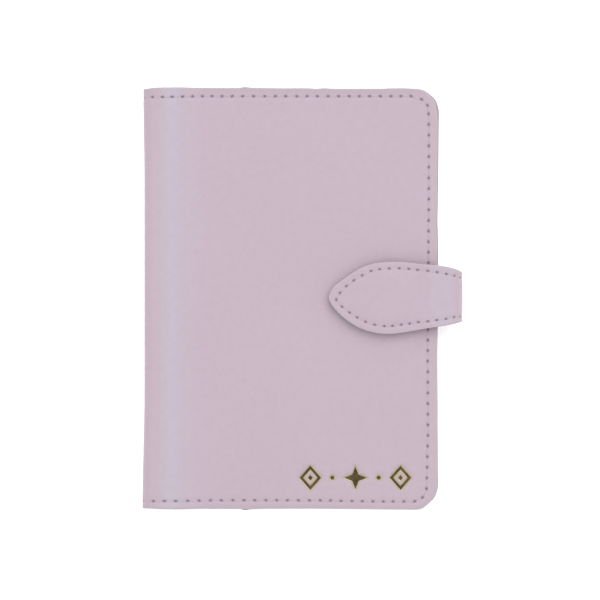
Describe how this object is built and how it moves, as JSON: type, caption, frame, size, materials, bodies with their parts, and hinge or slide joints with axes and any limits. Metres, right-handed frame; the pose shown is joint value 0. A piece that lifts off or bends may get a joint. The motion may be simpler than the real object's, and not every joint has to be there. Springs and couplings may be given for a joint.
{
  "type": "passport holder",
  "caption": "Bookfold leather passport holder with an inner sleeve in each cover and a rounded strap that wraps the fore-edge and closes with a hidden magnetic snap.",
  "frame": {"origin": "centre of the back cover's outer face, which lies on the surface the closed holder rests on", "axes": "+Z out of the front cover, +X from the spine towards the fore-edge, +Y towards the holder's top edge"},
  "size_m": [0.1056, 0.14, 0.0162],
  "materials": {
    "cover_leather": "smooth semi-matte lilac leather",
    "strap_backing": "smooth lilac leather, raw edge",
    "lining": "thin matte lilac lining leather",
    "reinforcement": "bonded leather board, edge painted greyish lilac",
    "thread": "waxed mauve thread",
    "foil": "stamped gold foil, dark olive in the stamp and pale gold on its rims",
    "snap_plating": "satin nickel plate",
    "snap_steel": "pressed steel",
    "magnet": "dark ferrite"
  },
  "bodies": {
    "back_cover": {"back_leather": "cover_leather", "back_core": "reinforcement", "back_lining": "lining", "back_sleeve_border": "lining", "back_sleeve": "lining", "back_edge_thread": "thread", "strap_anchor_thread": "thread", "strap_tail": "cover_leather", "strap_root_lining": "strap_backing"},
    "spine": {"spine_leather": "cover_leather", "spine_lining": "lining", "spine_thread": "thread"},
    "front_cover": {"front_leather": "cover_leather", "front_core": "reinforcement", "front_lining": "lining", "front_sleeve_border": "lining", "front_sleeve": "lining", "front_edge_thread": "thread", "foil_ornament": "foil", "snap_socket_cap": "snap_plating", "snap_magnet": "magnet", "snap_socket_base": "snap_steel", "snap_socket_washer": "snap_steel"},
    "strap_link_1": {"strap_loop_1_outer": "cover_leather", "strap_loop_1_lining": "strap_backing", "strap_loop_1_thread": "thread"},
    "strap_link_2": {"strap_loop_2_outer": "cover_leather", "strap_loop_2_lining": "strap_backing", "strap_loop_2_thread": "thread"},
    "strap_link_3": {"strap_loop_3_outer": "cover_leather", "strap_loop_3_lining": "strap_backing", "strap_loop_3_thread": "thread"},
    "strap_tab": {"strap_tab_outer": "cover_leather", "strap_tab_lining": "strap_backing", "strap_tab_thread": "thread", "snap_stud": "snap_plating", "snap_stud_washer": "snap_steel"}
  },
  "joints": [
    {"name": "spine_fold_back", "type": "hinge", "parent": "back_cover", "child": "spine", "pos_m": [-0.04759, 0, 0.00116], "axis": [0, -1, 0], "range_deg": [0, 90]},
    {"name": "spine_fold_front", "type": "hinge", "parent": "spine", "child": "front_cover", "pos_m": [-0.04759, 0, 0.01084], "axis": [0, -1, 0], "range_deg": [0, 90]},
    {"name": "strap_fold_1", "type": "hinge", "parent": "back_cover", "child": "strap_link_1", "pos_m": [0.05194, 0, 0.00244], "axis": [0, 1, 0], "range_deg": [0, 45]},
    {"name": "strap_fold_2", "type": "hinge", "parent": "strap_link_1", "child": "strap_link_2", "pos_m": [0.05561, 0, 0.00611], "axis": [0, 1, 0], "range_deg": [0, 45]},
    {"name": "strap_fold_3", "type": "hinge", "parent": "strap_link_2", "child": "strap_link_3", "pos_m": [0.05561, 0, 0.01129], "axis": [0, 1, 0], "range_deg": [0, 45]},
    {"name": "strap_fold_4", "type": "hinge", "parent": "strap_link_3", "child": "strap_tab", "pos_m": [0.05194, 0, 0.01496], "axis": [0, 1, 0], "range_deg": [0, 45]}
  ],
  "couplings": [
    {"joint": "spine_fold_front", "follows": "spine_fold_back", "ratio": 1},
    {"joint": "strap_fold_2", "follows": "strap_fold_1", "ratio": 1},
    {"joint": "strap_fold_3", "follows": "strap_fold_1", "ratio": 1},
    {"joint": "strap_fold_4", "follows": "strap_fold_1", "ratio": 1}
  ]
}
